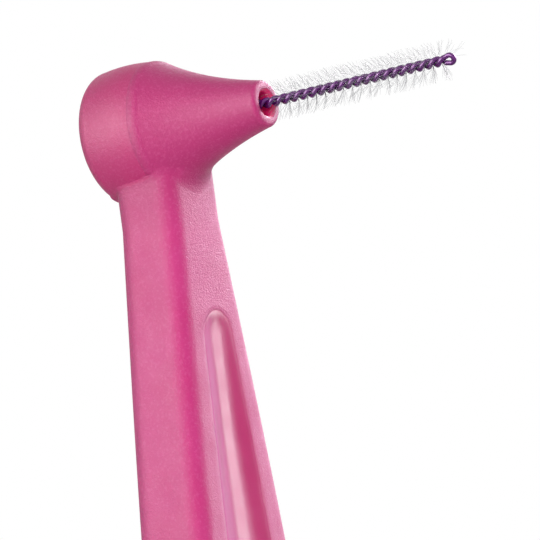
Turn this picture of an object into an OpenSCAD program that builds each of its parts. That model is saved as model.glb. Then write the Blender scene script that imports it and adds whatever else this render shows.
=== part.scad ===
// Interdental brush with a fixed angled head on a long flat handle.
// The handle stands along +Z and the brush points along +X, tilted a little up.
// The width runs along Y, and the origin is the centre of the flat butt end.

/* [Whole brush] */
// Height of the head's centre above the butt end
head_z = 136; // [120:1:160]
// How far the brush tilts up from square to the handle, in degrees
brush_tilt = 4.7; // [0:0.1:10]

/* [Handle] */
// Width of the handle's taper, level with the head's centre
neck_w = 4.05; // [3.3:0.05:4.4]
// Thickness of the handle's taper, level with the head's centre
neck_d = 3.7; // [3.2:0.02:4.2]
// How far below the head's centre the next two sizes are measured
flare_drop = 22; // [18:0.5:26]
// Width of the handle's taper at that drop
flare_w = 9.3; // [8:0.05:9.6]
// Thickness of the handle's taper at that drop
flare_d = 4.54; // [4.2:0.02:4.7]
// Greatest width of the grip
belly_w = 10.4; // [9.6:0.1:12]
// Greatest thickness of the grip
belly_d = 4.8; // [4.6:0.05:5.4]
// Height at which the grip reaches its greatest width
belly_z = 92; // [80:1:100]
// Width of the butt end, before its corners are rounded
butt_w = 7; // [6:0.1:9]
// Thickness of the butt end, before its edge is rounded
butt_d = 4; // [3.6:0.1:4.6]
// Radius of the handle's four long edges
edge_r = 1.15; // [0.6:0.05:1.3]
// Radius of the butt end's corners, seen from the front
butt_r = 1.3; // [0.8:0.1:1.8]
// Radius of the butt end's front and back edges
butt_edge_r = 0.5; // [0.3:0.05:0.6]
// How far the broad faces bulge at their middle
face_crown = 0.06; // [0:0.01:0.12]
// Radius of the fillet between the handle and the head
neck_fillet = 1.5; // [0.5:0.05:1.8]
// Radius that the fillet falls to at the back, under the barrel's overhang
back_fillet = 0.08; // [0.05:0.01:0.2]

/* [Recess] */
// Drop from the head's centre to the recess's top edge
recess_drop = 9.55; // [8:0.05:12]
// Length of the recess in each broad face
recess_len = 72; // [50:1:90]
// Width of the recess's rounded top
recess_top_w = 3.2; // [2.2:0.05:3.6]
// Width of the recess at the flare drop
recess_flare_w = 5.35; // [3.8:0.05:5.8]
// Greatest width of the recess
recess_w = 6.3; // [5:0.05:6.6]
// Depth of the small step round the recess's edge
ledge_d = 0.01; // [0.01:0.01:0.1]
// Width of the small step round the recess's edge
ledge_w = 0.15; // [0.05:0.01:0.3]
// Depth of the recess's middle below the broad face
channel_d = 0.34; // [0.2:0.01:0.6]
// Depth that the recess's middle runs out to at the top
channel_top_d = 0.12; // [0.05:0.01:0.3]
// Length over which the recess reaches its full depth below its top
channel_run = 7; // [3:0.5:12]

/* [Head] */
// Greatest diameter of the barrel
barrel_d = 7.3; // [7:0.05:8]
// Distance from the handle's middle back to the barrel's rear rim
barrel_back = 2.96; // [2.6:0.02:3.4]
// Radius of the barrel's rear rim
barrel_rim_r = 0.8; // [0.5:0.05:1]
// How far the rear face bulges past the rim
rear_bulge = 0.34; // [0.1:0.02:0.6]
// How much the barrel narrows towards its two ends, on the radius
barrel_crown = 0.09; // [0:0.01:0.15]
// Distance from the handle's middle forward to the parting groove
crease_x = 0.34; // [0.1:0.02:0.5]
// Width of the parting groove
crease_w = 0.16; // [0.05:0.01:0.2]
// Depth of the parting groove
crease_d = 0.02; // [0.01:0.005:0.08]
// Distance from the handle's middle to where the barrel's shoulder ends
shoulder_x = 0.98; // [0.8:0.02:1.3]
// Diameter of the cone where it leaves the shoulder
shoulder_d = 6.76; // [6.2:0.02:6.8]
// Distance from the handle's middle to the mouth
mouth_x = 6.98; // [6.4:0.02:8]
// Outer diameter of the cone just behind the mouth
mouth_d = 2.56; // [2.3:0.02:3]
// Distance from the mouth back to the middle of the cone's sweep
cone_bend_x = 3.55; // [3:0.05:4]
// Diameter at which the cone's two end slopes would meet
cone_bend_d = 3.94; // [3.5:0.02:4.2]
// Radius of the mouth's rounded lip
lip_r = 0.28; // [0.15:0.01:0.35]
// Diameter of the tapered opening at the mouth
opening_d = 1.2; // [1.1:0.02:1.4]
// Diameter of the tapered opening at its bottom
opening_end_d = 0.86; // [0.8:0.02:1]
// Depth of the tapered opening
opening_depth = 1.4; // [1:0.05:2]
// Radius of the rounded edge between the mouth and the tapered opening
opening_r = 0.28; // [0.1:0.01:0.3]

/* [Wire] */
// Diameter of the coated wire
strand_d = 0.28; // [0.24:0.005:0.32]
// Gap that the filaments hold open between the two strands
strand_gap = 0.04; // [0.03:0.005:0.06]
// Length of one full twist
twist_pitch = 1.13; // [0.9:0.01:1.6]
// Length of the wire from the mouth to the tip of its eye
free_len = 11.9; // [10:0.1:15]
// Length of the wire held inside the head
root_len = 5.2; // [3:0.1:6]
// Length of the eye at the tip
eye_len = 0.66; // [0.5:0.02:0.9]
// Width of the eye between the strands' middles
eye_w = 0.44; // [0.36:0.02:0.6]
// Clearance between the wire and its bore, on the radius
bore_gap = 0.01; // [0.005:0.005:0.03]

/* [Filaments] */
// Diameter across the filaments' tips
brush_d = 2.24; // [1.8:0.02:3]
// Distance from the mouth to the first filament
brush_start = 1; // [0.2:0.05:1.5]
// Distance from the last filament to the tip of the eye
brush_end = 0.62; // [0.5:0.02:1.2]
// Filaments on each edge of the twisted row
filament_rows = 195; // [150:1:225]
// Thickness of a filament at its bend
filament_t = 0.045; // [0.03:0.005:0.05]
// Half the width of the row that the strands grip
row_half_w = 0.13; // [0.1:0.01:0.15]
// How far a filament's tip leans back towards the handle
lean_back = 0.4; // [0:0.02:0.6]
// How far the foremost filaments' tips lean forward
lean_tip = 0.75; // [0.3:0.05:1]
// Length of brush over which the lean turns forward
lean_turn = 1.6; // [1:0.1:3]
// Greatest random shift of a tip along the brush
tip_scatter = 0.09; // [0:0.01:0.12]
// Greatest random turn of a filament round the brush, in degrees
turn_scatter = 4; // [0:0.5:6]
// How much shorter the shortest filament is, on the radius
length_scatter = 0.12; // [0:0.01:0.2]

/* [Hidden] */
$fn = 96;

// Counts of facets and steps
edge_steps = 5;
butt_steps = 6;
fillet_steps = 5;
arc_steps = 6;
flare_steps = 4;
grip_steps = 7;
lip_steps = 5;
opening_steps = 3;
sweep_steps = 14;
wire_sides = 6;
wire_steps_per_turn = 8;
eye_steps = 8;

// Shares of the recess's half width inside the step at which its section has points, towards its middle
scoop_shares = [0, 0.14, 0.3, 0.48, 0.7];
// Share of the recess's top width over which the flat face's points lie past a tip
flat_share = 0.8;
// Shares of a filament's reach and lean at its bend
bend_reach_share = 0.58;
bend_lean_share = 0.4;
// Share of the way from the parting groove to the shoulder's end where the shoulder turns
shoulder_turn_share = 0.7;
// Share of the eye's path that each of its two straight legs takes
leg_share = 0.25;
// How far short of the head's surface the fillet's arc stops turning, in degrees
fillet_short = 16;
scatter_seed = 7;

// How softly the taper runs into the grip, on the width, the thickness and the recess's width
blend_w = 1;
blend_d = 0.1;
blend_recess = 0.5;
// Half width of the recess's outline at its two tips
recess_tip = 0.02;
// Height over which the flat face's points spread out again past a tip
recess_spread = 3;
// How far the handle's top reaches up inside the head past the fillet
handle_sink = 0.6;

recess_top_z = head_z - recess_drop;
recess_low_z = recess_top_z - recess_len;
// Height where the handle's straight sides end and the neck's fillet begins
neck_z = head_z - barrel_d / 2 - neck_fillet;
strand_r = strand_d / 2;
// Distance from the brush's axis to the middle of a strand
strand_orbit = strand_r + strand_gap / 2;
wire_d = 2 * (strand_orbit + strand_r);

function between(a, b, t) = a + (b - a) * t;
function clamp01(t) = min(1, max(0, t));
function smooth(t) = let (u = clamp01(t)) u * u * (3 - 2 * u);
function unit(v) = v / norm(v);
// The smaller of two sizes, rounded over a width k where they cross
function soft_min(a, b, k) = (a + b - sqrt((a - b) * (a - b) + k * k)) / 2;
function bezier(p0, p1, p2, n) = [for (i = [0 : n]) let (t = i / n)
    (1 - t) * (1 - t) * p0 + 2 * t * (1 - t) * p1 + t * t * p2];

// Half width and half thickness of the handle at height z
function taper(a, b, z) = between(a, b, (head_z - z) / flare_drop) / 2;
function grip(a, b, z) = between(b, a, pow(1 - clamp01(z / belly_z), 2)) / 2;
// What a rounded end of radius r takes off at height z above the butt
function end_round(z, r) = z >= r ? 0 : r - sqrt(r * r - pow(r - z, 2));
function half_w(z) = soft_min(taper(neck_w, flare_w, z), grip(butt_w, belly_w, z), blend_w)
    - end_round(z, butt_r);
function half_d(z) = soft_min(taper(neck_d, flare_d, z), grip(butt_d, belly_d, z), blend_d)
    - end_round(z, butt_edge_r);

// Half width of the recess at height z, with its two round ends
function recess_flare(z) = between(
    recess_top_w, recess_flare_w, (recess_top_z - z) / (flare_drop - recess_drop)) / 2;
function recess_side(z) = soft_min(recess_flare(z), recess_w / 2, blend_recess);
function round_end(d, r) = d <= 0 ? 0 : d >= r ? 1 : sqrt(1 - pow(1 - d / r, 2));
function recess_half_w(z) = recess_side(z) * round_end(recess_top_z - z, recess_top_w / 2)
    * round_end(z - recess_low_z, recess_w / 2);
// Past the recess's tips the same points lie spread over the flat face
function past_tip(z) = max(0, z - recess_top_z, recess_low_z - z);
function outline_half_w(z) = max(recess_tip, recess_half_w(z),
    flat_share * recess_top_w / 2 * clamp01(past_tip(z) / recess_spread));
// How far z lies into one of the recess's two round ends, from 0 to 1 at its tip and more past it
function past_ends(z) = max(
    0, 1 + (z - recess_top_z) / (recess_top_w / 2), 1 + (recess_low_z - z) / (recess_w / 2));
// Depth of the recess at distance y from its middle line: a small step, then a scoop with soft shoulders
function recess_depth(y, z) = let (
    x = clamp01(1 - norm([y / recess_side(z), past_ends(z)])),
    step = ledge_d * smooth(x * recess_top_w / 2 / ledge_w),
    middle = between(channel_top_d, channel_d, clamp01((recess_top_z - z) / channel_run))
) step + (middle - ledge_d) * (20 * pow(x, 3) - 45 * pow(x, 4) + 36 * pow(x, 5) - 10 * pow(x, 6));

// Half of a broad face at height z, whose flat lies x in front of the middle, as [x, y]
function face_point(x, y, z) =
    [x + face_crown * (1 / 2 - pow(y / (half_w(z) - edge_r), 2)) - recess_depth(y, z), y];
function half_face(x, z) = let (
    w = outline_half_w(z),
    inner = w - min(ledge_w, w / 2)
) concat(
    [face_point(x, w, z)],
    [for (q = scoop_shares) face_point(x, inner * (1 - q), z)]);
function broad_face(x, z) = let (half = half_face(x, z)) concat(
    [for (p = half) [p[0], -p[1]]],
    [face_point(x, 0, z)],
    [for (i = [len(half) - 1 : -1 : 0]) half[i]]);

// A rounded corner about [x, y] whose arc starts at angle a
function corner(x, y, a) = [for (i = [0 : edge_steps]) let (b = a + 90 * i / edge_steps)
    [x + edge_r * cos(b), y + edge_r * sin(b)]];

// The handle's section at height z, anticlockwise seen from above, as [x, y]
function section(z) = let (
    x = half_d(z) - edge_r - face_crown / 2,
    y = half_w(z) - edge_r,
    face = broad_face(half_d(z), z)
) concat(
    corner(x, -y, -90), face, corner(x, y, 0),
    corner(-x, y, 90), -face, corner(-x, -y, 180));

// Heights of the straight part's sections, closer together where the form turns
function eased(n) = [for (i = [0 : n]) 1 - cos(90 * i / n)];
function even(z0, z1, n) = [for (i = [1 : n - 1]) between(z0, z1, i / n)];
low_round_z = recess_low_z + recess_w / 2;
top_round_z = recess_top_z - recess_top_w / 2;
heights = concat(
    butt_r * eased(butt_steps),
    even(butt_r, recess_low_z, grip_steps),
    [for (t = eased(arc_steps)) recess_low_z + t * recess_w / 2],
    even(low_round_z, top_round_z, grip_steps),
    [for (i = [arc_steps : -1 : 0]) recess_top_z - recess_top_w / 2 * eased(arc_steps)[i]],
    even(recess_top_z, neck_z, flare_steps),
    [neck_z]);

// The head's outline from the rear to the mouth, as [radius, distance along the brush's axis]
barrel_r = barrel_d / 2;
crease_r = barrel_r - barrel_crown;
rim_x = barrel_rim_r - barrel_back;
rim_y = crease_r - barrel_rim_r;
crease_end = [crease_r, crease_x + crease_w];
shoulder_end = [shoulder_d / 2, shoulder_x];
head_outline = concat(
    [for (i = [0 : arc_steps]) let (t = i / arc_steps)
        [rim_y * t, -barrel_back - rear_bulge * (1 - t * t)]],
    [for (i = [1 : arc_steps - 1]) let (a = 90 * i / arc_steps)
        [rim_y + barrel_rim_r * sin(a), rim_x - barrel_rim_r * cos(a)]],
    [for (i = [0 : arc_steps]) let (t = i / arc_steps)
        [barrel_r - barrel_crown * pow(2 * t - 1, 2), between(rim_x, crease_x, t)]],
    [[crease_r - crease_d, crease_x + crease_w / 2]],
    bezier(crease_end,
        [crease_r - crease_d, between(crease_x, shoulder_x, shoulder_turn_share)],
        shoulder_end, arc_steps),
    [for (i = [1 : sweep_steps])
        bezier(shoulder_end, [cone_bend_d / 2, mouth_x - cone_bend_x],
            [mouth_d / 2, mouth_x - lip_r], sweep_steps)[i]],
    [for (i = [1 : lip_steps]) let (a = 90 * i / lip_steps)
        [mouth_d / 2 - lip_r * (1 - cos(a)), mouth_x - lip_r * (1 - sin(a))]]);
// From the mouth's rounded inner edge down the tapered opening to the axis
opening_low = mouth_x - opening_depth;
opening_outline = concat(
    [for (i = [opening_steps : -1 : 0]) let (a = 90 * i / opening_steps)
        [opening_d / 2 + opening_r * (1 - cos(a)), mouth_x - opening_r * (1 - sin(a))]],
    [[opening_end_d / 2, opening_low], [0, opening_low]]);

// Radius of the head at distance t along the brush's axis
head_table = [for (p = head_outline) [p[1], p[0]]];
function head_r(t) = lookup(t, head_table);
// Height of the head's lower surface over the point [x, y], found in steps from a first guess
function head_low(x, y, z = -barrel_r, steps = 4) = steps == 0 ? z : let (
    t = x * cos(brush_tilt) + z * sin(brush_tilt),
    drop = -sqrt(max(0, pow(head_r(t), 2) - y * y))
) head_low(x, y, (drop + x * sin(brush_tilt)) / cos(brush_tilt), steps - 1);

// Outward direction of a section at its point k
function outward(pts, k) = let (
    n = len(pts),
    d = pts[(k + 1) % n] - pts[(k + n - 1) % n]
) unit([d[1], -d[0]]);

// One upright line of the neck, from the straight side round the fillet and into the head
function neck_line(p, o) = let (
    r = between(back_fillet, neck_fillet, smooth(1 + o[0])),
    z0 = head_low(p[0], p[1]),
    q = p + r * o,
    slope = (head_low(q[0], q[1]) - z0) / r,
    turn = 90 - atan(slope) - fillet_short,
    mid_z = z0 + slope * r - r * sqrt(1 + slope * slope),
    end_d = r * (1 - cos(turn)),
    end_z = mid_z + r * sin(turn)
) concat(
    [for (i = [0 : fillet_steps]) let (a = turn * i / fillet_steps, d = r * (1 - cos(a)))
        [p[0] + o[0] * d, p[1] + o[1] * d, head_z + mid_z + r * sin(a)]],
    [let (d = end_d + handle_sink * sin(turn), in = handle_sink * cos(turn))
        [p[0] + o[0] * d, p[1] + o[1] * d, head_z + end_z + in]]);

// A closed solid through a stack of rings that all have n points
function stack_faces(rings, n) = concat(
    [[for (k = [0 : n - 1]) k]],
    [for (j = [0 : rings - 2], k = [0 : n - 1]) let (a = j * n + k, b = j * n + (k + 1) % n)
        each [[a, b + n, b], [a, a + n, b + n]]],
    [[for (k = [n - 1 : -1 : 0]) (rings - 1) * n + k]]);

module handle_loft() {
    neck = section(neck_z);
    n = len(neck);
    lines = [for (k = [0 : n - 1]) neck_line(neck[k], outward(neck, k))];
    rings = concat(
        [for (z = heights) [for (p = section(z)) [p[0], p[1], z]]],
        [for (i = [0 : fillet_steps + 1]) [for (line = lines) line[i]]],
        [[for (p = neck) [p[0], p[1], head_z]]]);
    polyhedron(points = [for (ring = rings) each ring], faces = stack_faces(len(rings), n));
}

// Puts what is drawn along +Z onto the brush's axis
module on_brush_axis() {
    translate([0, 0, head_z])
        rotate([0, 90 - brush_tilt, 0])
            children();
}

module head_body() {
    on_brush_axis()
        rotate_extrude()
            polygon(concat(head_outline, opening_outline));
}

module wire_bore() {
    on_brush_axis()
        translate([0, 0, mouth_x - root_len])
            cylinder(h = root_len, d = wire_d + 2 * bore_gap);
}

module handle() {
    color("#d4588f")
        difference() {
            union() {
                handle_loft();
                head_body();
            }
            wire_bore();
        }
}

// Direction across the brush's axis at angle a, and the direction along it
function across(a) = [cos(a), sin(a), 0];
along = [0, 0, 1];
// The strands twist to the left as they run to the tip
function twist_angle(s) = -360 * s / twist_pitch;

wire_end = free_len - eye_len;
wire_steps = ceil((wire_end + root_len) / twist_pitch * wire_steps_per_turn);

// A place on the wire is its middle, a direction out from the brush's middle, and its travel
function strand_place(s, side) = let (a = twist_angle(s), o = side * across(a)) [
    o * strand_orbit + along * s,
    o,
    along * side * twist_pitch - across(a + 90) * 2 * PI * strand_orbit];
function eye_place(t) = let (
    o = across(twist_angle(wire_end)),
    r = eye_w / 2,
    leg = clamp01(min(t, 1 - t) / leg_share),
    a = 180 * clamp01((t - leg_share) / (1 - 2 * leg_share)),
    spread = between(strand_orbit, r, leg),
    reach = wire_end + (eye_len - r - strand_r) * leg
) [
    o * spread * cos(a) + along * (reach + r * sin(a)),
    o * cos(a) + along * sin(a),
    along * cos(a) - o * sin(a)];
// One strand runs out from the root, turns round the eye and runs back as the other
function strand_run(side) = [for (i = [0 : wire_steps])
    strand_place(between(-root_len, wire_end, i / wire_steps), side)];
wire_path = concat(
    strand_run(1),
    [for (i = [1 : eye_steps - 1]) eye_place(i / eye_steps)],
    [for (i = [wire_steps : -1 : 0]) strand_run(-1)[i]]);

module core_wire() {
    points = [for (p = wire_path) let (side = unit(cross(p[2], p[1])))
        for (k = [0 : wire_sides - 1]) let (a = 360 * k / wire_sides)
            p[0] + strand_r * (p[1] * cos(a) + side * sin(a))];
    color("#4a1a58")
        on_brush_axis()
            translate([0, 0, mouth_x])
                polyhedron(points = points, faces = stack_faces(len(wire_path), wire_sides));
}

// The row of filaments between the strands is a thin strip that twists with them
row_step = (free_len - brush_end - brush_start) / filament_rows;
function row_s(i) = brush_start + row_step * i;
function row_ring(i) = let (
    a = twist_angle(row_s(i)) + 90,
    w = across(a) * row_half_w,
    t = across(a + 90) * strand_gap / 2,
    c = along * row_s(i)
) [c + w + t, c + w - t, c - w - t, c - w + t];

// How far the tips lean along the brush, counted forward
function lean(s) = between(-lean_back, lean_tip,
    pow(clamp01(1 - (row_s(filament_rows) - s) / lean_turn), 3));

shift_list = rands(-1, 1, 2 * filament_rows, scatter_seed);
turn_list = rands(-1, 1, 2 * filament_rows, scatter_seed + 1);
short_list = rands(0, 1, 2 * filament_rows, scatter_seed + 2);

// The bend's four corners and the tip of the filament between rings i and i + 1
function filament(i, edge) = let (
    j = 2 * i + edge,
    s = row_s(i + 1 / 2),
    a = twist_angle(s) + 90 + 180 * edge + turn_scatter * turn_list[j],
    reach = brush_d / 2 - length_scatter * short_list[j],
    shift = lean(s) + tip_scatter * shift_list[j],
    bend = across(a) * reach * bend_reach_share + along * (s + shift * bend_lean_share),
    h = along * filament_t / 2,
    t = across(a + 90) * filament_t / 2
) [bend - h + t, bend + h + t, bend + h - t, bend - h - t, across(a) * reach + along * (s + shift)];

// Triangles from the base points b round the bend's points, which start at m, to the tip
function filament_faces(b, m) = [for (k = [0 : 3]) let (n = (k + 1) % 4)
    each [[b[k], m + k, b[n]], [b[n], m + k, m + n], [m + k, m + 4, m + n]]];

module filaments() {
    rows = filament_rows;
    first = 4 * (rows + 1);
    end = 4 * rows;
    points = concat(
        [for (i = [0 : rows]) each row_ring(i)],
        [for (i = [0 : rows - 1], edge = [0, 1]) each filament(i, edge)]);
    faces = concat(
        [[0, 2, 1], [0, 3, 2], [end, end + 1, end + 2], [end, end + 2, end + 3]],
        [for (i = [0 : rows - 1]) let (a = 4 * i, b = a + 4, m = first + 10 * i) each concat(
            [[a, b + 3, a + 3], [a, b, b + 3], [a + 1, b + 2, b + 1], [a + 1, a + 2, b + 2]],
            filament_faces([a, b, b + 1, a + 1], m),
            filament_faces([a + 2, b + 2, b + 3, a + 3], m + 5))]);
    color("#f2f2f2")
        on_brush_axis()
            translate([0, 0, mouth_x])
                polyhedron(points = points, faces = faces);
}

handle();
core_wire();
filaments();
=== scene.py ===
"""Looks of the interdental brush: a pink moulded handle, a twisted purple wire and its clear filaments."""

import math

import bpy
import numpy as np
from mathutils import Matrix


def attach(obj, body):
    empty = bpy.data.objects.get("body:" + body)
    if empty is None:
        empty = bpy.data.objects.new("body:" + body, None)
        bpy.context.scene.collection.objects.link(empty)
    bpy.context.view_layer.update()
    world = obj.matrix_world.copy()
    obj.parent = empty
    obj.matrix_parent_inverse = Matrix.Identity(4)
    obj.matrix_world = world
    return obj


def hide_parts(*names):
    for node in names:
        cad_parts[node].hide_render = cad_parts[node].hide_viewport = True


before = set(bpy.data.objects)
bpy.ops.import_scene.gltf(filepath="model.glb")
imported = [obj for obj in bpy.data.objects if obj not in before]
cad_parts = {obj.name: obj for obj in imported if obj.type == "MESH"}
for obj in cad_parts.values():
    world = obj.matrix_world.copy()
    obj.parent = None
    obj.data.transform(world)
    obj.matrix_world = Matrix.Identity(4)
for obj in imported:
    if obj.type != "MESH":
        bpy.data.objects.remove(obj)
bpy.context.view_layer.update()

MM = 0.001

# Sizes of the whole brush, in millimetres and degrees
HEAD_Z = 136
BRUSH_TILT = math.radians(4.7)

# Handle
NECK_W, NECK_D = 4.05, 3.7
FLARE_DROP = 22
FLARE_W, FLARE_D = 9.3, 4.54
BELLY_W, BELLY_D, BELLY_Z = 10.4, 4.8, 92
BUTT_W, BUTT_D = 7, 4
EDGE_R = 1.15
BUTT_R, BUTT_EDGE_R = 1.3, 0.5
FACE_CROWN = 0.06
NECK_FILLET, BACK_FILLET = 1.5, 0.08
BLEND_W, BLEND_D = 1, 0.1
# How far the neck reaches on inside the head, and the smaller section that closes it there
NECK_SINK = 0.4
NECK_CAP_SHARE, NECK_CAP_DROP = 0.8, 1.4

# Recess in each broad face
RECESS_DROP, RECESS_LEN = 9.55, 72
RECESS_TOP_W, RECESS_FLARE_W, RECESS_W = 3.2, 5.35, 6.3
RECESS_TIP = 0.02
RECESS_SPREAD, FLAT_SHARE = 3, 0.8
BLEND_RECESS = 0.5
LEDGE_D, LEDGE_W = 0.01, 0.15
CHANNEL_D, CHANNEL_TOP_D, CHANNEL_RUN = 0.34, 0.12, 7

# Head
BARREL_D, BARREL_BACK, BARREL_RIM_R = 7.3, 2.96, 0.8
REAR_BULGE, BARREL_CROWN = 0.34, 0.09
CREASE_X, CREASE_W, CREASE_D = 0.34, 0.16, 0.008
SHOULDER_X, SHOULDER_D, SHOULDER_TURN = 0.98, 6.76, 0.7
MOUTH_X, MOUTH_D = 6.98, 2.56
CONE_BEND_X, CONE_BEND_D = 3.55, 3.94
LIP_R = 0.28
OPENING_D, OPENING_END_D, OPENING_DEPTH, OPENING_R = 1.2, 0.86, 1.4, 0.28

# Where the mould is polished: from a share of the way into the recess, and inside the mouth. There its
# colour is painted too: a painted shade in the recess, a painted glow in the mouth
POLISH_SHADE_START_SHARE, POLISH_SHADE_FADE_SHARE = 0.08, 0.12
MOUTH_MARGIN, OPENING_MARGIN = 0.02, 0.3
# How strong the texture is on the barrel, and how near its outline that holds; there a little of the mouth's
# painted glow pink mixes into the head's colour
BARREL_TEXTURE, BARREL_MARGIN = 0.85, 0.1

# Wire
STRAND_D, STRAND_GAP = 0.28, 0.04
TWIST_PITCH = 1.13
FREE_LEN, ROOT_LEN = 11.9, 5.2
EYE_LEN, EYE_W, LEG_SHARE = 0.66, 0.44, 0.25
BORE_GAP = 0.01

# Filaments
BRUSH_D = 2.24
BRUSH_START, BRUSH_END = 0.8, 0.62
ROW_HALF_W, ROOT_SINK = 0.13, 0.05
FILAMENT_D, THINNING_SHARE, POINT_SHARE = 0.024, 0.35, 0.8
LEAN_BACK, LEAN_TIP, LEAN_TURN, LEAN_POWER = 0.4, 0.75, 1.6, 1.5
# How much the filaments differ in length, in place along the brush, and in radians round it
LENGTH_SCATTER = 0.16
SHIFT_SCATTER, SHIFT_LIMIT = 0.14, 0.2
TURN_SCATTER, CURL_SCATTER = 0.4, 0.09

# Steps of the meshes
EDGE_STEPS = 12
SIDE_STEPS = 10
FLAT_STEPS = 5
LEDGE_STEPS = 6
BOWL_STEPS = 26
BUTT_STEPS = 8
ROUND_STEPS = 28
RING_STEP = 0.5
FILLET_STEPS = 20
FILLET_SHORT = math.radians(3)
BARREL_STEPS, RIM_STEPS, GROOVE_STEPS = 24, 16, 8
SHOULDER_STEPS, SWEEP_STEPS, LIP_STEPS = 14, 60, 12
OPENING_STEPS, FUNNEL_STEPS = 8, 12
HEAD_SPINS = 240
HEAD_LOW_STEPS = 12
STRAND_SIDES = 16
STEPS_PER_TURN = 32
EYE_STEPS = 40
FILAMENT_ROWS = 480
FILAMENT_SIDES = 5
FILAMENT_RINGS = 9
SHARP_ANGLE = math.radians(50)
SEED = 11

NECK_Z = HEAD_Z - BARREL_D / 2 - NECK_FILLET
RECESS_TOP_Z = HEAD_Z - RECESS_DROP
RECESS_LOW_Z = RECESS_TOP_Z - RECESS_LEN
STRAND_R = STRAND_D / 2
STRAND_ORBIT = STRAND_R + STRAND_GAP / 2
WIRE_D = 2 * (STRAND_ORBIT + STRAND_R)
WIRE_END = FREE_LEN - EYE_LEN


def between(a, b, t):
    return a + (b - a) * t


def clamp01(t):
    return np.clip(t, 0, 1)


def smooth(t):
    t = clamp01(t)
    return t * t * (3 - 2 * t)


def soft_min(a, b, k):
    """The smaller of two sizes, rounded over a width k where they cross."""
    return (a + b - np.sqrt((a - b) ** 2 + k * k)) / 2


def bezier(p0, p1, p2, n):
    t = np.linspace(0, 1, n + 1)[:, None]
    return (1 - t) ** 2 * np.array(p0) + 2 * t * (1 - t) * np.array(p1) + t * t * np.array(p2)


# Handle: half width and half thickness at height z, and the recess's outline and depth
def taper(a, b, z):
    return between(a, b, (HEAD_Z - z) / FLARE_DROP) / 2


def grip(a, b, z):
    return between(b, a, (1 - clamp01(z / BELLY_Z)) ** 2) / 2


def end_round(z, r):
    """What a rounded end of radius r takes off at height z above the butt."""
    return r - np.sqrt(r * r - np.clip(r - z, 0, r) ** 2)


def half_w(z):
    return soft_min(taper(NECK_W, FLARE_W, z), grip(BUTT_W, BELLY_W, z), BLEND_W) - end_round(z, BUTT_R)


def half_d(z):
    return soft_min(taper(NECK_D, FLARE_D, z), grip(BUTT_D, BELLY_D, z), BLEND_D) - end_round(z, BUTT_EDGE_R)


def recess_side(z):
    drop = (RECESS_TOP_Z - z) / (FLARE_DROP - RECESS_DROP)
    return soft_min(between(RECESS_TOP_W, RECESS_FLARE_W, drop) / 2, RECESS_W / 2, BLEND_RECESS)


def past_ends(z):
    """How far z lies into one of the recess's two round ends, from 0 to 1 at its tip and more past it."""
    top_r, low_r = RECESS_TOP_W / 2, RECESS_W / 2
    return np.maximum(0, np.maximum((z - RECESS_TOP_Z) / top_r, (RECESS_LOW_Z - z) / low_r) + 1)


def recess_half_w(z):
    return recess_side(z) * np.sqrt(np.maximum(0, 1 - past_ends(z) ** 2))


def outline_half_w(z):
    """Past the recess's tips the same points lie spread over the flat face."""
    past = np.maximum(0, np.maximum(z - RECESS_TOP_Z, RECESS_LOW_Z - z))
    spread = FLAT_SHARE * RECESS_TOP_W / 2 * clamp01(past / RECESS_SPREAD)
    return np.maximum(RECESS_TIP, np.maximum(recess_half_w(z), spread))


def recess_share(y, z):
    """How far a point lies into the recess, from 0 at its outline to 1 on its middle line."""
    return clamp01(1 - np.hypot(y / recess_side(z), past_ends(z)))


def recess_depth(y, z):
    """Depth of the recess at distance y from its middle line: a small step, then a soft scoop."""
    x = recess_share(y, z)
    step = LEDGE_D * smooth(x * RECESS_TOP_W / 2 / LEDGE_W)
    middle = between(CHANNEL_TOP_D, CHANNEL_D, clamp01((RECESS_TOP_Z - z) / CHANNEL_RUN))
    return step + (middle - LEDGE_D) * (20 * x ** 3 - 45 * x ** 4 + 36 * x ** 5 - 10 * x ** 6)


def face_ys(z):
    """Distances from the middle line at which a broad face has points, from its edge inwards."""
    w = outline_half_w(z)
    inner = w - min(LEDGE_W, w / 2)
    flat = np.linspace(half_w(z) - EDGE_R, w, FLAT_STEPS + 1)[1:-1]
    ledge = np.linspace(w, inner, LEDGE_STEPS + 1)[:-1]
    return np.concatenate([flat, ledge, np.linspace(inner, 0, BOWL_STEPS + 1)])


def broad_face(z):
    """The front face at height z from -Y to +Y, as rows of [x, y]."""
    y = face_ys(z)
    crown = FACE_CROWN * (0.5 - (y / (half_w(z) - EDGE_R)) ** 2)
    x = half_d(z) + crown - recess_depth(y, z)
    half = np.stack([x, y], 1)
    return np.concatenate([half[:-1] * (1, -1), half[::-1]])


def corner(x, y, start):
    a = start + np.linspace(0, math.pi / 2, EDGE_STEPS + 1)
    return np.stack([x + EDGE_R * np.cos(a), y + EDGE_R * np.sin(a)], 1)


def side_face(x, y):
    """Points of a narrow side between two corners, from x to -x."""
    xs = np.linspace(x, -x, SIDE_STEPS + 1)[1:-1]
    return np.stack([xs, np.full(len(xs), y)], 1)


def section(z):
    """The handle's section at height z, anticlockwise seen from above."""
    x = half_d(z) - EDGE_R - FACE_CROWN / 2
    y = half_w(z) - EDGE_R
    face = broad_face(z)
    half = np.concatenate([corner(x, -y, -math.pi / 2), face, corner(x, y, 0), side_face(x, y + EDGE_R)])
    return np.concatenate([half, -half])


def eased(n):
    return 1 - np.cos(np.linspace(0, math.pi / 2, n + 1))


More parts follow.
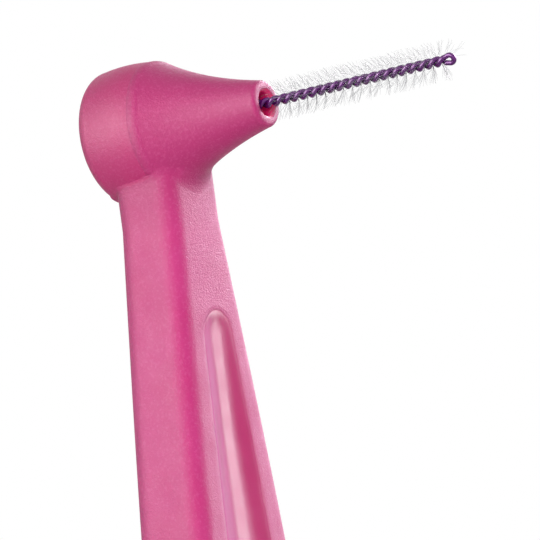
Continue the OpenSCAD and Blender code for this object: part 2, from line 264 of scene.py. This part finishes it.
def section_heights():
    """Closer together at the butt end and at the recess's round ends."""
    low_r, top_r = RECESS_W / 2, RECESS_TOP_W / 2
    low, top = RECESS_LOW_Z + low_r, RECESS_TOP_Z - top_r

    def even(a, b):
        return np.linspace(a, b, max(2, round((b - a) / RING_STEP)) + 1)[1:-1]

    return np.concatenate([
        BUTT_EDGE_R * eased(BUTT_STEPS), between(BUTT_EDGE_R, BUTT_R, np.linspace(0, 1, BUTT_STEPS)[1:]),
        even(BUTT_R, RECESS_LOW_Z), RECESS_LOW_Z + low_r * eased(ROUND_STEPS),
        even(low, top), (RECESS_TOP_Z - top_r * eased(ROUND_STEPS))[::-1],
        even(RECESS_TOP_Z, NECK_Z), [NECK_Z]])


# Head: its outline from the rear to the mouth, as rows of [radius, distance along the brush's axis]
def head_outline():
    barrel_r = BARREL_D / 2
    crease_r = barrel_r - BARREL_CROWN
    rim_x, rim_y = BARREL_RIM_R - BARREL_BACK, crease_r - BARREL_RIM_R
    t = np.linspace(0, 1, BARREL_STEPS + 1)
    rear = np.stack([rim_y * t, -BARREL_BACK - REAR_BULGE * (1 - t * t)], 1)
    a = np.linspace(0, math.pi / 2, RIM_STEPS + 1)[1:-1]
    rim = np.stack([rim_y + BARREL_RIM_R * np.sin(a), rim_x - BARREL_RIM_R * np.cos(a)], 1)
    barrel = np.stack([barrel_r - BARREL_CROWN * (2 * t - 1) ** 2, between(rim_x, CREASE_X, t)], 1)
    g = np.linspace(0, 1, GROOVE_STEPS + 1)[1:-1]
    groove = np.stack([crease_r - CREASE_D * np.sin(math.pi * g) ** 2, CREASE_X + CREASE_W * g], 1)
    shoulder_end = [SHOULDER_D / 2, SHOULDER_X]
    shoulder_turn = [crease_r - CREASE_D, between(CREASE_X, SHOULDER_X, SHOULDER_TURN)]
    shoulder = bezier([crease_r, CREASE_X + CREASE_W], shoulder_turn, shoulder_end, SHOULDER_STEPS)
    sweep = bezier(shoulder_end, [CONE_BEND_D / 2, MOUTH_X - CONE_BEND_X],
                   [MOUTH_D / 2, MOUTH_X - LIP_R], SWEEP_STEPS)[1:]
    a = np.linspace(0, math.pi / 2, LIP_STEPS + 1)[1:]
    lip = np.stack([MOUTH_D / 2 - LIP_R * (1 - np.cos(a)), MOUTH_X - LIP_R * (1 - np.sin(a))], 1)
    return np.concatenate([rear, rim, barrel, groove, shoulder, sweep, lip])


def head_hollow():
    """From the mouth's lip down the tapered opening and the wire's blind bore to the axis."""
    bore_r = WIRE_D / 2 + BORE_GAP
    lip_in = OPENING_D / 2
    a = np.linspace(0, math.pi / 2, OPENING_STEPS + 1)
    edge = np.stack([lip_in + OPENING_R * (1 - np.sin(a)), MOUTH_X - OPENING_R * (1 - np.cos(a))], 1)
    t = np.linspace(0, 1, FUNNEL_STEPS + 1)[1:]
    depth = between(OPENING_R, OPENING_DEPTH, t)
    funnel = np.stack([between(lip_in, OPENING_END_D / 2, t), MOUTH_X - depth], 1)
    bottom = MOUTH_X - ROOT_LEN
    bore = np.array([[bore_r, MOUTH_X - OPENING_DEPTH], [bore_r, bottom], [0, bottom]])
    return np.concatenate([edge, funnel, bore])


HEAD = head_outline()


def head_r(t):
    return np.interp(t, HEAD[:, 1], HEAD[:, 0])


def head_low(p):
    """Height of the head's lower surface over the points p, from its centre, found in steps."""
    z = np.full(len(p), -BARREL_D / 2)
    for _ in range(HEAD_LOW_STEPS):
        t = p[:, 0] * math.cos(BRUSH_TILT) + z * math.sin(BRUSH_TILT)
        drop = -np.sqrt(np.maximum(0, head_r(t) ** 2 - p[:, 1] ** 2))
        z = (drop + p[:, 0] * math.sin(BRUSH_TILT)) / math.cos(BRUSH_TILT)
    return z


def neck_rings(neck):
    """Rings from the straight side round the fillet and into the head, one line per point of the section."""
    d = np.roll(neck, -1, 0) - np.roll(neck, 1, 0)
    out = np.stack([d[:, 1], -d[:, 0]], 1)
    out /= np.linalg.norm(out, axis=1)[:, None]
    r = between(BACK_FILLET, NECK_FILLET, smooth(1 + out[:, 0]))
    z0 = head_low(neck)
    slope = (head_low(neck + out * r[:, None]) - z0) / r
    turn = math.pi / 2 - np.arctan(slope) - FILLET_SHORT
    mid_z = z0 + slope * r - r * np.sqrt(1 + slope * slope)
    rings = []
    for i in range(FILLET_STEPS + 1):
        a = turn * i / FILLET_STEPS
        reach = r * (1 - np.cos(a))
        rings.append(np.column_stack([neck + out * reach[:, None], HEAD_Z + mid_z + r * np.sin(a)]))
    tip = rings[-1] + np.column_stack([out * (NECK_SINK * np.sin(turn))[:, None], NECK_SINK * np.cos(turn)])
    cap = np.column_stack([neck * NECK_CAP_SHARE, np.full(len(neck), HEAD_Z - NECK_CAP_DROP)])
    return rings + [tip, cap]


def put_on_axis(p):
    """From the brush's own axes, where it points along +Z, to its tilted place on the handle."""
    c, s = math.cos(BRUSH_TILT), math.sin(BRUSH_TILT)
    return np.stack([p[..., 0] * s + p[..., 2] * c, p[..., 1], HEAD_Z - p[..., 0] * c + p[..., 2] * s], -1)


# Mesh objects
def mesh_object(name, points, faces):
    mesh = bpy.data.meshes.new(name)
    mesh.from_pydata((points * MM).tolist(), [], faces)
    mesh.validate()
    mesh.polygons.foreach_set("use_smooth", [True] * len(mesh.polygons))
    obj = bpy.data.objects.new(name, mesh)
    bpy.context.scene.collection.objects.link(obj)
    return obj


def ring_quads(rings, n):
    """Quads between rings of n points, seen anticlockwise from outside."""
    j, k = np.meshgrid(np.arange(rings - 1), np.arange(n), indexing="ij")
    a, b = j * n + k, j * n + (k + 1) % n
    return np.stack([a, b, b + n, a + n], -1).reshape(-1, 4)


def handle_loft():
    rings = [np.column_stack([section(z), np.full(len(section(z)), z)]) for z in section_heights()]
    rings += neck_rings(section(NECK_Z))
    n = len(rings[0])
    faces = ring_quads(len(rings), n).tolist()
    faces.append(list(range(n))[::-1])
    faces.append([(len(rings) - 1) * n + k for k in range(n)])
    return mesh_object("grip_form", np.concatenate(rings), faces)


def head_form():
    outline = np.concatenate([HEAD[1:], head_hollow()[:-1]])
    a = np.linspace(0, 2 * math.pi, HEAD_SPINS, endpoint=False)
    rings = np.stack([np.outer(outline[:, 0], np.cos(a)), np.outer(outline[:, 0], np.sin(a)),
                      np.repeat(outline[:, 1:], HEAD_SPINS, 1)], -1)
    points = np.concatenate([rings.reshape(-1, 3), [[0, 0, HEAD[0, 1]], [0, 0, MOUTH_X - ROOT_LEN]]])
    faces = ring_quads(len(outline), HEAD_SPINS).tolist()
    last, rear, bottom = (len(outline) - 1) * HEAD_SPINS, len(points) - 2, len(points) - 1
    for k in range(HEAD_SPINS):
        m = (k + 1) % HEAD_SPINS
        faces.append([rear, m, k])
        faces.append([bottom, last + k, last + m])
    return mesh_object("head_form", put_on_axis(points), faces)


def joined(name, a, b):
    """One closed mesh of the union of two objects, which it removes."""
    union = a.modifiers.new("union", "BOOLEAN")
    union.operation = "UNION"
    union.solver = "MANIFOLD"
    union.object = b
    depsgraph = bpy.context.evaluated_depsgraph_get()
    mesh = bpy.data.meshes.new_from_object(a.evaluated_get(depsgraph))
    mesh.name = name
    obj = bpy.data.objects.new(name, mesh)
    bpy.context.scene.collection.objects.link(obj)
    for old in (a, b):
        bpy.data.objects.remove(old)
    return obj


def point_array(obj):
    co = np.zeros(len(obj.data.vertices) * 3)
    obj.data.vertices.foreach_get("co", co)
    return co.reshape(-1, 3) / MM


def set_attribute(obj, name, values):
    obj.data.attributes.new(name, "FLOAT", "POINT").data.foreach_set("value", values.astype(np.float32))


def handle_texture_and_painted_light(p):
    """1 where the mould is spark-eroded, less on the barrel, and 0 in the polished recesses and mouth; below
    1 it also brings in the painted shade pink of the recesses and the painted glow pink of the mouth.
    """
    z = p[:, 2]
    # Into the recess: polished, and painted a deeper pink as shade
    polish_and_shade = smooth((recess_share(p[:, 1], z) - POLISH_SHADE_START_SHARE) / POLISH_SHADE_FADE_SHARE)
    polish_and_shade = polish_and_shade * (np.abs(p[:, 0]) > half_d(z) / 2)
    t = p[:, 0] * math.cos(BRUSH_TILT) + (z - HEAD_Z) * math.sin(BRUSH_TILT)
    r = np.hypot((z - HEAD_Z) * math.cos(BRUSH_TILT) - p[:, 0] * math.sin(BRUSH_TILT), p[:, 1])
    gap = r - head_r(t)
    barrel = (np.abs(gap) < BARREL_MARGIN) & (t < CREASE_X + CREASE_W / 2)
    # Inside the mouth: polished, and given the painted glow red
    mouth = (t > MOUTH_X - ROOT_LEN) & (t < MOUTH_X - MOUTH_MARGIN) & (gap < -OPENING_MARGIN)
    return np.where(mouth, 0.0, np.where(barrel, BARREL_TEXTURE, 1 - polish_and_shade))


def make_handle():
    obj = joined("moulded_handle", handle_loft(), head_form())
    obj.data.set_sharp_from_angle(angle=SHARP_ANGLE)
    set_attribute(obj, "texture_and_painted_light", handle_texture_and_painted_light(point_array(obj)))
    return obj


# Wire: both strands are one sweep, out from the root, round the eye and back
def across(a):
    return np.stack([np.cos(a), np.sin(a), np.zeros_like(a)], -1)


ALONG = np.array([0, 0, 1.0])


def twist_angle(s):
    return -2 * math.pi * s / TWIST_PITCH


def strand_path(side):
    n = math.ceil((WIRE_END + ROOT_LEN) / TWIST_PITCH * STEPS_PER_TURN)
    s = np.linspace(-ROOT_LEN, WIRE_END, n + 1)
    out = side * across(twist_angle(s))
    travel = ALONG * side * TWIST_PITCH - across(twist_angle(s) + math.pi / 2) * 2 * math.pi * STRAND_ORBIT
    return out * STRAND_ORBIT + s[:, None] * ALONG, out, travel


def eye_path():
    o = across(np.array(twist_angle(WIRE_END)))
    r = EYE_W / 2
    t = np.linspace(0, 1, EYE_STEPS + 1)[1:-1]
    leg = smooth(np.minimum(t, 1 - t) / LEG_SHARE)
    a = math.pi * clamp01((t - LEG_SHARE) / (1 - 2 * LEG_SHARE))
    spread = between(STRAND_ORBIT, r, leg)
    reach = WIRE_END + (EYE_LEN - r - STRAND_R) * clamp01(np.minimum(t, 1 - t) / LEG_SHARE)
    out = np.cos(a)[:, None] * o + np.sin(a)[:, None] * ALONG
    return (spread * np.cos(a))[:, None] * o + (reach + r * np.sin(a))[:, None] * ALONG, out


def make_wire():
    out_run, back_run, eye = strand_path(1), strand_path(-1), eye_path()
    centre = np.concatenate([out_run[0], eye[0], back_run[0][::-1]])
    out = np.concatenate([out_run[1], eye[1], back_run[1][::-1]])
    travel = np.gradient(centre, axis=0)
    travel /= np.linalg.norm(travel, axis=1)[:, None]
    out = out - (out * travel).sum(1)[:, None] * travel
    out /= np.linalg.norm(out, axis=1)[:, None]
    side = np.cross(travel, out)
    a = np.linspace(0, 2 * math.pi, STRAND_SIDES, endpoint=False)
    rings = centre[:, None] + STRAND_R * (np.cos(a)[None, :, None] * out[:, None]
                                          + np.sin(a)[None, :, None] * side[:, None])
    rings[..., 2] += MOUTH_X
    n = len(centre)
    faces = ring_quads(n, STRAND_SIDES).tolist()
    faces.append(list(range(STRAND_SIDES))[::-1])
    faces.append([(n - 1) * STRAND_SIDES + k for k in range(STRAND_SIDES)])
    obj = mesh_object("twisted_wire", put_on_axis(rings.reshape(-1, 3)), faces)
    obj.data.set_sharp_from_angle(angle=SHARP_ANGLE)
    return obj


# Filaments: they stand out from both edges of a row that twists with the strands
def lean(s):
    """How far a tip leans along the brush: back along its length, and forward at its end."""
    last = FREE_LEN - BRUSH_END
    return between(-LEAN_BACK, LEAN_TIP, clamp01(1 - (last - s) / LEAN_TURN) ** 3)


def make_filaments():
    rng = np.random.default_rng(SEED)
    count = 2 * FILAMENT_ROWS
    edge = np.tile([0, 1], FILAMENT_ROWS)
    step = (FREE_LEN - BRUSH_END - BRUSH_START) / FILAMENT_ROWS
    s = BRUSH_START + step * (np.arange(count) // 2 + 0.5) + rng.uniform(-0.5, 0.5, count) * step
    a = twist_angle(s) + math.pi / 2 + math.pi * edge
    reach = BRUSH_D / 2 - LENGTH_SCATTER * rng.random(count) ** 2
    shift = lean(s) + np.clip(rng.normal(0, SHIFT_SCATTER, count), -SHIFT_LIMIT, SHIFT_LIMIT)
    turn = rng.normal(0, TURN_SCATTER, count)
    curl = rng.normal(0, CURL_SCATTER, count)
    rings = []
    u = np.linspace(0, 1, FILAMENT_RINGS)
    for t in u:
        angle = a + turn * t + curl * np.sin(math.pi * t)
        r = between(ROW_HALF_W - ROOT_SINK, reach, t)
        z = s + shift * t ** LEAN_POWER
        rings.append(across(angle) * r[:, None] + z[:, None] * ALONG)
    centre = np.stack(rings, 1)
    travel = np.gradient(centre, axis=1)
    travel /= np.linalg.norm(travel, axis=2)[..., None]
    side = np.cross(travel, ALONG)
    side /= np.linalg.norm(side, axis=2)[..., None]
    other = np.cross(travel, side)
    radius = FILAMENT_D / 2 * (1 - THINNING_SHARE * u ** 3)
    b = np.linspace(0, 2 * math.pi, FILAMENT_SIDES, endpoint=False)
    ring = (np.cos(b)[:, None] * side[..., None, :] + np.sin(b)[:, None] * other[..., None, :])
    points = centre[..., None, :] + radius[None, :, None, None] * ring
    tip = centre[:, -1] + travel[:, -1] * radius[-1] * POINT_SHARE
    per = FILAMENT_RINGS * FILAMENT_SIDES + 1
    points = np.concatenate([points.reshape(count, -1, 3), tip[:, None]], 1)
    points[..., 2] += MOUTH_X
    one = [list(f) for f in ring_quads(FILAMENT_RINGS, FILAMENT_SIDES)]
    last = (FILAMENT_RINGS - 1) * FILAMENT_SIDES
    one += [[last + k, last + (k + 1) % FILAMENT_SIDES, per - 1] for k in range(FILAMENT_SIDES)]
    one.append(list(range(FILAMENT_SIDES))[::-1])
    faces = [[i * per + v for v in f] for i in range(count) for f in one]
    obj = mesh_object("nylon_filaments", put_on_axis(points.reshape(-1, 3)), faces)
    reach = np.append(np.repeat(u, FILAMENT_SIDES), 1.0)
    set_attribute(obj, "reach", np.tile(reach, count))
    return obj


# Materials: colours are linear red, green and blue
MOULDED_PINKS = (0.54, 0.019, 0.175), (0.56, 0.025, 0.195)
# Painted shade: a deeper pink in the polished recesses, darkening their walls
RECESS_SHADE_PINK = (0.53, 0.006, 0.145)
# Painted shade: the head is given a deeper pink than the handle
HEAD_SHADE_PINK = (0.47, 0.02, 0.155)
# Painted glow: a brighter red inside the mouth, standing in for light through its thin walls
MOUTH_GLOW_PINK = (0.75, 0.015, 0.15)
# Painted glints: pale pink specks where the grained faces would sparkle
GLINT_PINK = (0.72, 0.14, 0.36)
WIRE_PURPLES = (0.045, 0.002, 0.07), (0.085, 0.005, 0.12)
WIRE_SHEEN = (0.9, 0.5, 0.95)
NYLON_GREYS = (0.26, 0.265, 0.28), (0.42, 0.43, 0.45)
FLOOR_GREY = (0.86, 0.86, 0.86)
# How far below the head's centre the head's painted shade, a deeper pink, starts, and where it is reached
HEAD_SHADE_START, HEAD_SHADE_END = 5.5, 3
POLISHED_ROUGHNESS, MOULDED_ROUGHNESS, ROUGHNESS_SCATTER = 0.22, 0.53, 0.04
# Depths of the mould's grain and of its slow ripple, and of the coating's unevenness, in millimetres
FINE_GRAIN, COARSE_GRAIN, RIPPLE, COATING_RIPPLE = 0.032, 0.01, 0.01, 0.001
# How strong the painted glints are
GLINT_STRENGTH = 0.2
LIGHT_DEPTH = 0.6
# A filament is nearly clear up to the first share of its length and whitest past the second
CLEAR_SHARE, WHITE_SHARE = 0.25, 0.6
CLEAR_ALPHA, WHITE_ALPHA = 0.03, 0.25


class Nodes:
    """A material's node tree, with short calls to add and link nodes."""

    def __init__(self, name):
        self.material = bpy.data.materials.new(name)
        self.material.use_nodes = True
        self.tree = self.material.node_tree
        self.shader = self.tree.nodes["Principled BSDF"]

    def add(self, kind, **settings):
        node = self.tree.nodes.new(kind)
        for key, value in settings.items():
            if hasattr(node, key):
                setattr(node, key, value)
            else:
                node.inputs[key.replace("_", " ")].default_value = value
        return node

    def link(self, a, b):
        self.tree.links.new(a, b)

    def millimetres(self):
        """Object coordinates, in millimetres."""
        place = self.add("ShaderNodeTexCoord")
        scale = self.add("ShaderNodeVectorMath", operation="SCALE")
        scale.inputs["Scale"].default_value = 1 / MM
        self.link(place.outputs["Object"], scale.inputs[0])
        return scale.outputs["Vector"]

    def noise(self, coords, scale, detail, roughness=0.5):
        """Noise of features about 1 / scale millimetres across."""
        node = self.add("ShaderNodeTexNoise", Scale=scale, Detail=detail, Roughness=roughness)
        self.link(coords, node.inputs["Vector"])
        return node.outputs["Fac"]

    def remap(self, value, low, high, to_low, to_high):
        node = self.add("ShaderNodeMapRange", From_Min=low, From_Max=high, To_Min=to_low, To_Max=to_high)
        self.link(value, node.inputs["Value"])
        return node.outputs["Result"]

    def maths(self, operation, a, b):
        node = self.add("ShaderNodeMath", operation=operation)
        self.link(a, node.inputs[0])
        self.link(b, node.inputs[1])
        return node.outputs["Value"]

    def mix(self, fac, a, b):
        node = self.add("ShaderNodeMix", data_type="RGBA")
        self.link(fac, node.inputs["Factor"])
        for socket, value in (("A", a), ("B", b)):
            target = next(i for i in node.inputs if i.name == socket and i.type == "RGBA")
            if isinstance(value, tuple):
                target.default_value = (*value, 1)
            else:
                self.link(value, target)
        return next(o for o in node.outputs if o.type == "RGBA")

    def bump(self, height, depth, normal=None):
        node = self.add("ShaderNodeBump", Distance=depth * MM, Strength=1.0)
        self.link(height, node.inputs["Height"])
        if normal is not None:
            self.link(normal, node.inputs["Normal"])
        return node.outputs["Normal"]

    def set(self, **values):
        for key, value in values.items():
            self.shader.inputs[key.replace("_", " ")].default_value = value


def handle_plastic():
    m = Nodes("handle_plastic")
    mm = m.millimetres()
    texture_and_painted_light = m.add("ShaderNodeAttribute", attribute_name="texture_and_painted_light").outputs["Fac"]
    tone = m.remap(m.noise(mm, 0.35, 2), 0.35, 0.65, 0, 1)
    moulded = m.mix(tone, *MOULDED_PINKS)
    # Painted shade: a deeper pink on the head, fading in below it
    height = m.add("ShaderNodeSeparateXYZ")
    m.link(mm, height.inputs["Vector"])
    head = m.remap(height.outputs["Z"], HEAD_Z - HEAD_SHADE_START, HEAD_Z - HEAD_SHADE_END, 0, 1)
    # Where the mask is below 1, painted colour comes in: painted shade in the recesses, painted glow in the
    # mouth
    base = m.mix(head, m.mix(texture_and_painted_light, RECESS_SHADE_PINK, moulded), m.mix(texture_and_painted_light, MOUTH_GLOW_PINK, HEAD_SHADE_PINK))
    # Painted glints: pale specks in the base colour on the textured faces
    glint_noise = m.noise(mm, 6.5, 2, 0.6)
    glints = m.maths("MULTIPLY", m.remap(glint_noise, 0.5, 0.68, 0, GLINT_STRENGTH), texture_and_painted_light)
    m.link(m.mix(glints, base, GLINT_PINK), m.shader.inputs["Base Color"])
    patches = m.remap(m.noise(mm, 0.8, 3), 0.3, 0.7, -ROUGHNESS_SCATTER, ROUGHNESS_SCATTER)
    rough = m.maths("ADD", m.remap(texture_and_painted_light, 0, 1, POLISHED_ROUGHNESS, MOULDED_ROUGHNESS), patches)
    m.link(rough, m.shader.inputs["Roughness"])
    coarse = m.maths("MULTIPLY", m.noise(mm, 4, 3, 0.6), texture_and_painted_light)
    fine = m.maths("MULTIPLY", m.noise(mm, 13, 2, 0.6), texture_and_painted_light)
    ripple = m.bump(m.noise(mm, 0.5, 1), RIPPLE)
    normal = m.bump(fine, FINE_GRAIN, m.bump(coarse, COARSE_GRAIN, ripple))
    m.link(normal, m.shader.inputs["Normal"])
    m.set(Subsurface_Weight=0.12, Subsurface_Scale=LIGHT_DEPTH * MM, Subsurface_Radius=(1.0, 0.35, 0.5),
          IOR=1.5, Specular_IOR_Level=0.5)
    return m.material


def coated_wire():
    m = Nodes("coated_wire")
    mm = m.millimetres()
    tone = m.remap(m.noise(mm, 3, 2), 0.3, 0.7, 0, 1)
    m.link(m.mix(tone, *WIRE_PURPLES), m.shader.inputs["Base Color"])
    m.link(m.remap(m.noise(mm, 12, 2), 0.3, 0.7, 0.13, 0.2), m.shader.inputs["Roughness"])
    m.link(m.bump(m.noise(mm, 10, 2), COATING_RIPPLE), m.shader.inputs["Normal"])
    m.set(Specular_IOR_Level=0.9, Specular_Tint=(*WIRE_SHEEN, 1), IOR=1.55)
    return m.material


def filament_nylon():
    m = Nodes("filament_nylon")
    mm = m.millimetres()
    tone = m.remap(m.noise(mm, 4, 1), 0.3, 0.7, 0, 1)
    m.link(m.mix(tone, *NYLON_GREYS), m.shader.inputs["Base Color"])
    m.link(m.remap(m.noise(mm, 9, 1), 0.3, 0.7, 0.18, 0.3), m.shader.inputs["Roughness"])
    reach = m.add("ShaderNodeAttribute", attribute_name="reach").outputs["Fac"]
    alpha = m.remap(reach, CLEAR_SHARE, WHITE_SHARE, CLEAR_ALPHA, WHITE_ALPHA)
    m.link(alpha, m.shader.inputs["Alpha"])
    m.set(IOR=1.53)
    return m.material


def pale_floor():
    m = Nodes("pale_floor")
    m.set(Base_Color=(*FLOOR_GREY, 1), Roughness=0.9)
    return m.material


def dress(obj, node, material):
    obj.data.materials.clear()
    obj.data.materials.append(material)
    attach(obj, "root")
    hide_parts(node)


dress(make_handle(), "handle", handle_plastic())
dress(make_wire(), "core_wire", coated_wire())
dress(make_filaments(), "filaments", filament_nylon())


# Floor, world and lamps
FLOOR_RADIUS, FLOOR_DROP, FLOOR_SIDES = 900, 0.02, 96
WORLD_LEVEL = 0.2
# Height that the lamps face, and the distances at which they stand, in metres
AIM_Z = 0.12
NEAR, FAR = 0.7, 0.9
WHITE = (1, 1, 1)
# Name, direction, size in metres, watts and colour of the lamps that show in reflections alone
SHEENS = [
    ("left_sheen", (-0.38, -0.92, 0.25), (0.86, 0.8), 13.4, WHITE),
    ("right_sheen", (0.31, 0.95, 0.36), (0.9, 0.3), 11, (1, 0.9, 1)),
    ("right_glow", (0.34, 0.94, 0), (0.81, 1), 1.9, (1, 0.65, 0.95)),
    ("right_edge", (0.64, 0.77, 0), (0.22, 1), 0.45, WHITE),
    ("right_strip", (0.53, 0.848, 0), (0.09, 1), 1.75, WHITE),
    ("right_blush", (0.21, 0.98, 0), (0.3, 1), 0.8, (1, 0, 0.75)),
]
# The same for the lamps that no reflection shows
FILLS = [
    ("front_fill", (0.53, -0.85, 0.35), (0.6, 0.6), 6.6, WHITE),
    ("back_fill", (-0.53, 0.85, 0.3), (0.6, 0.6), 3.5, WHITE),
]


def make_floor():
    a = np.linspace(0, 2 * math.pi, FLOOR_SIDES, endpoint=False)
    points = np.stack([FLOOR_RADIUS * np.cos(a), FLOOR_RADIUS * np.sin(a), np.full(len(a), -FLOOR_DROP)], 1)
    floor = mesh_object("floor", points, [list(range(len(a)))])
    floor.data.materials.append(pale_floor())


def make_world():
    """White for what the camera and reflections see, and a plain level of light for the rest."""
    world = bpy.data.worlds.new("studio")
    bpy.context.scene.world = world
    world.use_nodes = True
    tree = world.node_tree
    tree.nodes.clear()
    path = tree.nodes.new("ShaderNodeLightPath")
    seen = None
    for ray in ("Is Camera Ray", "Is Glossy Ray", "Is Transmission Ray"):
        if seen is None:
            seen = path.outputs[ray]
            continue
        add = tree.nodes.new("ShaderNodeMath")
        add.operation = "MAXIMUM"
        tree.links.new(seen, add.inputs[0])
        tree.links.new(path.outputs[ray], add.inputs[1])
        seen = add.outputs["Value"]
    strength = tree.nodes.new("ShaderNodeMapRange")
    strength.inputs["To Min"].default_value = WORLD_LEVEL
    tree.links.new(seen, strength.inputs["Value"])
    background = tree.nodes.new("ShaderNodeBackground")
    tree.links.new(strength.outputs["Result"], background.inputs["Strength"])
    background.inputs["Color"].default_value = (*WHITE, 1)
    output = tree.nodes.new("ShaderNodeOutputWorld")
    tree.links.new(background.outputs["Background"], output.inputs["Surface"])


def softbox(distance, name, direction, size, watts, colour):
    """An area lamp that faces the handle at AIM_Z from that distance. Its size is (width, height)."""
    lamp = bpy.data.lights.new(name, "AREA")
    lamp.shape = "RECTANGLE"
    lamp.size, lamp.size_y = size
    lamp.energy = watts
    lamp.color = colour
    obj = bpy.data.objects.new(name, lamp)
    bpy.context.scene.collection.objects.link(obj)
    d = np.array(direction, float)
    d /= np.linalg.norm(d)
    side = np.cross((0, 0, 1), d)
    side /= np.linalg.norm(side)
    up = np.cross(d, side)
    place = np.array([0, 0, AIM_Z]) + d * distance
    matrix = np.eye(4)
    matrix[:3, 0], matrix[:3, 1], matrix[:3, 2], matrix[:3, 3] = side, up, d, place
    obj.matrix_world = Matrix(matrix.tolist())
    obj.visible_camera = False
    return obj


make_floor()
make_world()
for sheen in SHEENS:
    softbox(NEAR, *sheen).visible_diffuse = False
for fill in FILLS:
    softbox(FAR, *fill).visible_glossy = False


# The photograph's camera
PIXELS_PER_MM = 19
FRAME_PIXELS = 540
AZIMUTH = math.radians(32)
ROLL = math.radians(7.7)
CAMERA_DISTANCE = 1000
HEAD_PIXEL = (157.5, 129.4)
SENSOR = 36
CLIP_START = 0.01


def make_camera():
    back = np.array([math.sin(AZIMUTH), -math.cos(AZIMUTH), 0])
    level = np.array([math.cos(AZIMUTH), math.sin(AZIMUTH), 0])
    up = np.array([0, 0, 1])
    right = math.cos(ROLL) * level - math.sin(ROLL) * up
    top = math.sin(ROLL) * level + math.cos(ROLL) * up
    centre = FRAME_PIXELS / 2
    target = (np.array([0, 0, HEAD_Z]) + right * (centre - HEAD_PIXEL[0]) / PIXELS_PER_MM
              + top * (HEAD_PIXEL[1] - centre) / PIXELS_PER_MM)
    place = target + back * CAMERA_DISTANCE
    matrix = np.eye(4)
    matrix[:3, 0], matrix[:3, 1], matrix[:3, 2], matrix[:3, 3] = right, top, back, place * MM
    camera = bpy.data.cameras.new("camera")
    camera.sensor_width = SENSOR
    camera.lens = SENSOR * CAMERA_DISTANCE / (FRAME_PIXELS / PIXELS_PER_MM)
    camera.clip_start = CLIP_START
    obj = bpy.data.objects.new("camera", camera)
    bpy.context.scene.collection.objects.link(obj)
    obj.matrix_world = Matrix(matrix.tolist())
    bpy.context.scene.camera = obj


make_camera()
bpy.context.scene.view_settings.view_transform = "Standard"

bpy.context.view_layer.update()
